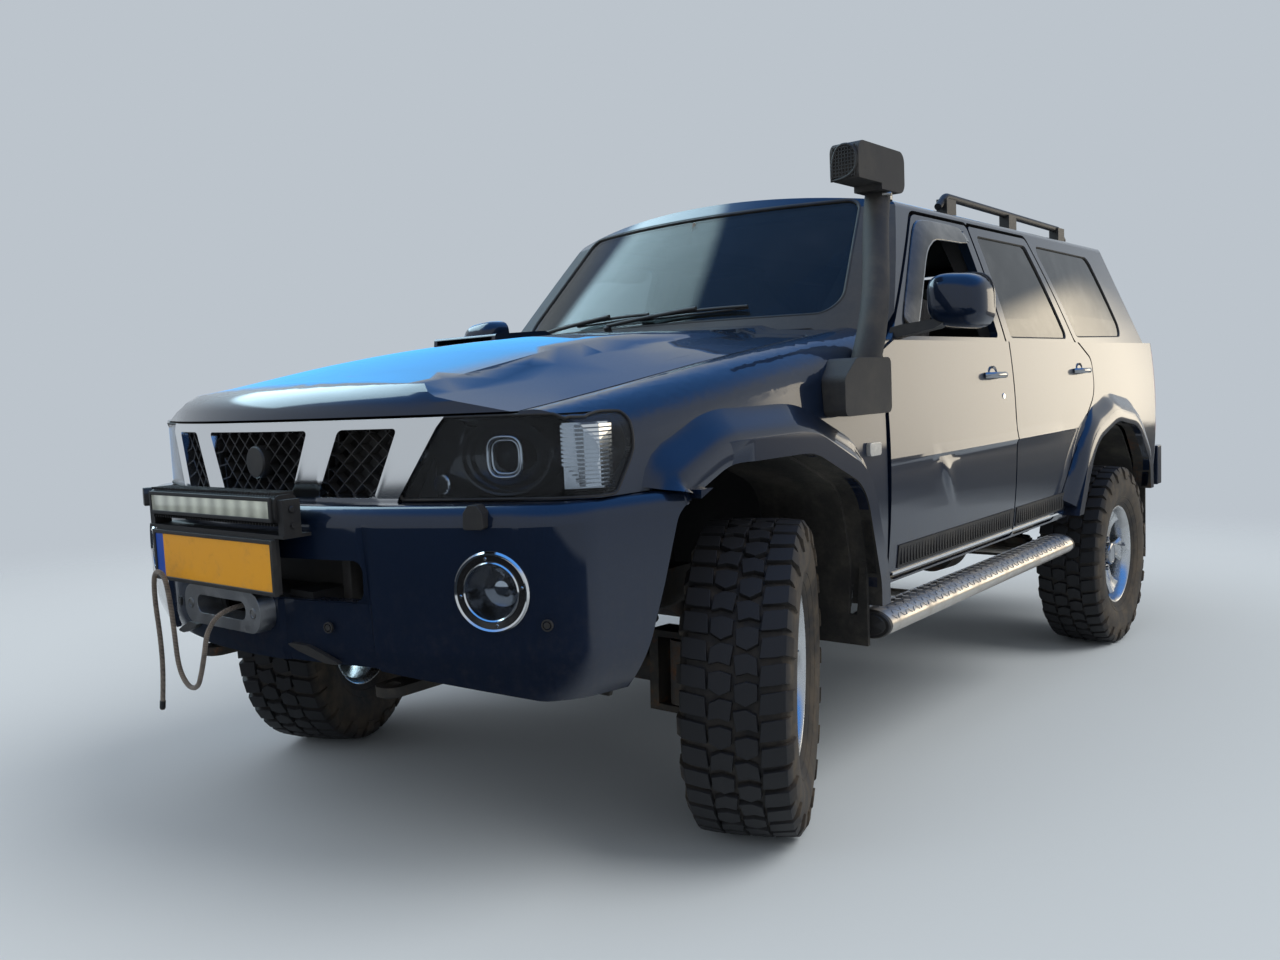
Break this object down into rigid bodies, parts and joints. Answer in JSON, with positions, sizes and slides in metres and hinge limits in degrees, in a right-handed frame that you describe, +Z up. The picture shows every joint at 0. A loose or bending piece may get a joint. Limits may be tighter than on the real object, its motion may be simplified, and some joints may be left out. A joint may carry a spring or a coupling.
{
  "type": "off-road estate car",
  "caption": "Raised off-road estate car on a ladder frame, with steered solid front axle, opening doors, bonnet and back doors, snorkel, winch and hanging rope.",
  "frame": {"origin": "middle of the bottom of the whole box, on the ground between the wheels", "axes": "-Y towards the front of the car, +X to the car's left, +Z up"},
  "size_m": [2.3, 5.2359, 1.9934],
  "materials": {
    "paint": "gloss",
    "black_steel": "satin",
    "black_plastic": "matte",
    "chrome": "polished",
    "glass": "clear",
    "lamp": "clear",
    "red_lamp": "gloss",
    "tyre": "matte",
    "alloy": "satin",
    "iron": "rough",
    "fabric": "woven",
    "plate": "gloss",
    "rope": "braided"
  },
  "bodies": {
    "car": {"arch_liners": "black_plastic", "axles": "iron", "body_shell": "paint", "cowl_panel": "paint", "dashboard": "black_plastic", "engine_block": "iron", "fairlead": "alloy", "fog_lamps": "lamp", "front_bumper": "paint", "front_seats": "fabric", "front_wings": "paint", "fuel_tank": "black_steel", "gearbox_transfer": "iron", "grille": "chrome", "headlamps": "lamp", "ladder_frame": "black_steel", "light_bar": "black_plastic", "number_plate": "plate", "quarter_glass": "glass", "quarter_panels": "paint", "radiator_pack": "black_plastic", "rear_bench": "fabric", "rear_bumper": "paint", "roof": "paint", "roof_rails": "alloy", "side_steps": "alloy", "snorkel": "black_plastic", "springs_dampers": "black_steel", "steering_wheel": "black_plastic", "tail_lamps": "red_lamp", "winch": "black_steel", "winch_rope": "rope", "windscreen": "glass"},
    "door_front_left": {"door_front_left": "paint", "mirror_left": "paint"},
    "door_front_right": {"door_front_right": "paint", "mirror_right": "paint"},
    "door_rear_left": {"door_rear_left": "paint", "door_glass_rear_left": "glass"},
    "door_rear_right": {"door_rear_right": "paint", "door_glass_rear_right": "glass"},
    "back_door_wide": {"back_door_wide": "paint", "back_glass_wide": "glass", "spare_tyre": "tyre", "spare_rim": "alloy"},
    "back_door_narrow": {"back_door_narrow": "paint", "back_glass_narrow": "glass"},
    "bonnet": {"bonnet": "paint"},
    "knuckle_left": {"knuckle_left": "iron"},
    "knuckle_right": {"knuckle_right": "iron"},
    "tie_rod": {"tie_rod": "black_steel"},
    "wheel_front_left": {"tyre_front_left": "tyre", "rim_front_left": "alloy"},
    "wheel_front_right": {"tyre_front_right": "tyre", "rim_front_right": "alloy"},
    "wheel_rear_left": {"tyre_rear_left": "tyre", "rim_rear_left": "alloy"},
    "wheel_rear_right": {"tyre_rear_right": "tyre", "rim_rear_right": "alloy"}
  },
  "joints": [
    {"name": "steer_left", "type": "hinge", "parent": "car", "child": "knuckle_left", "pos_m": [0.66, -1.5864, 0.413], "axis": [0, 0, 1], "range_deg": [-58, 8]},
    {"name": "steer_right", "type": "hinge", "parent": "car", "child": "knuckle_right", "pos_m": [-0.66, -1.5864, 0.413], "axis": [0, 0, 1], "range_deg": [-58, 8]},
    {"name": "tie_rod_pivot", "type": "hinge", "parent": "knuckle_left", "child": "tie_rod", "pos_m": [0.57336, -1.40061, 0.362], "axis": [0, 0, 1], "range_deg": [-8, 58]},
    {"name": "wheel_spin_front_left", "type": "hinge", "parent": "knuckle_left", "child": "wheel_front_left", "pos_m": [0.82767, -1.50822, 0.413], "axis": [0.9063, 0.4226, 0], "continuous": true},
    {"name": "wheel_spin_front_right", "type": "hinge", "parent": "knuckle_right", "child": "wheel_front_right", "pos_m": [-0.82767, -1.66458, 0.413], "axis": [0.9063, 0.4226, 0], "continuous": true},
    {"name": "wheel_spin_rear_left", "type": "hinge", "parent": "car", "child": "wheel_rear_left", "pos_m": [0.845, 1.3836, 0.413], "axis": [1, 0, 0], "continuous": true},
    {"name": "wheel_spin_rear_right", "type": "hinge", "parent": "car", "child": "wheel_rear_right", "pos_m": [-0.845, 1.3836, 0.413], "axis": [1, 0, 0], "continuous": true},
    {"name": "door_front_left_hinge", "type": "hinge", "parent": "car", "child": "door_front_left", "pos_m": [0.913, -0.88807, 0.9318], "axis": [0.0436, 0.0366, -0.9984], "range_deg": [0, 65]},
    {"name": "door_rear_left_hinge", "type": "hinge", "parent": "car", "child": "door_rear_left", "pos_m": [0.913, 0.17621, 0.97082], "axis": [0.0436, 0.0366, -0.9984], "range_deg": [0, 65]},
    {"name": "door_front_right_hinge", "type": "hinge", "parent": "car", "child": "door_front_right", "pos_m": [-0.913, -0.88807, 0.9318], "axis": [0.0436, -0.0366, 0.9984], "range_deg": [0, 65]},
    {"name": "door_rear_right_hinge", "type": "hinge", "parent": "car", "child": "door_rear_right", "pos_m": [-0.913, 0.17621, 0.97082], "axis": [0.0436, -0.0366, 0.9984], "range_deg": [0, 65]},
    {"name": "back_door_wide_hinge", "type": "hinge", "parent": "car", "child": "back_door_wide", "pos_m": [-0.785, 2.29232, 1.08845], "axis": [0, -0.0366, 0.9993], "range_deg": [0, 90]},
    {"name": "back_door_narrow_hinge", "type": "hinge", "parent": "car", "child": "back_door_narrow", "pos_m": [0.785, 2.29232, 1.08845], "axis": [0, 0.0366, -0.9993], "range_deg": [0, 90]},
    {"name": "bonnet_hinge", "type": "hinge", "parent": "car", "child": "bonnet", "pos_m": [0, -1.07567, 1.38123], "axis": [-1, 0, 0], "range_deg": [0, 50]}
  ],
  "couplings": [
    {"joint": "steer_right", "follows": "steer_left", "ratio": 1},
    {"joint": "tie_rod_pivot", "follows": "steer_left", "ratio": -1}
  ]
}
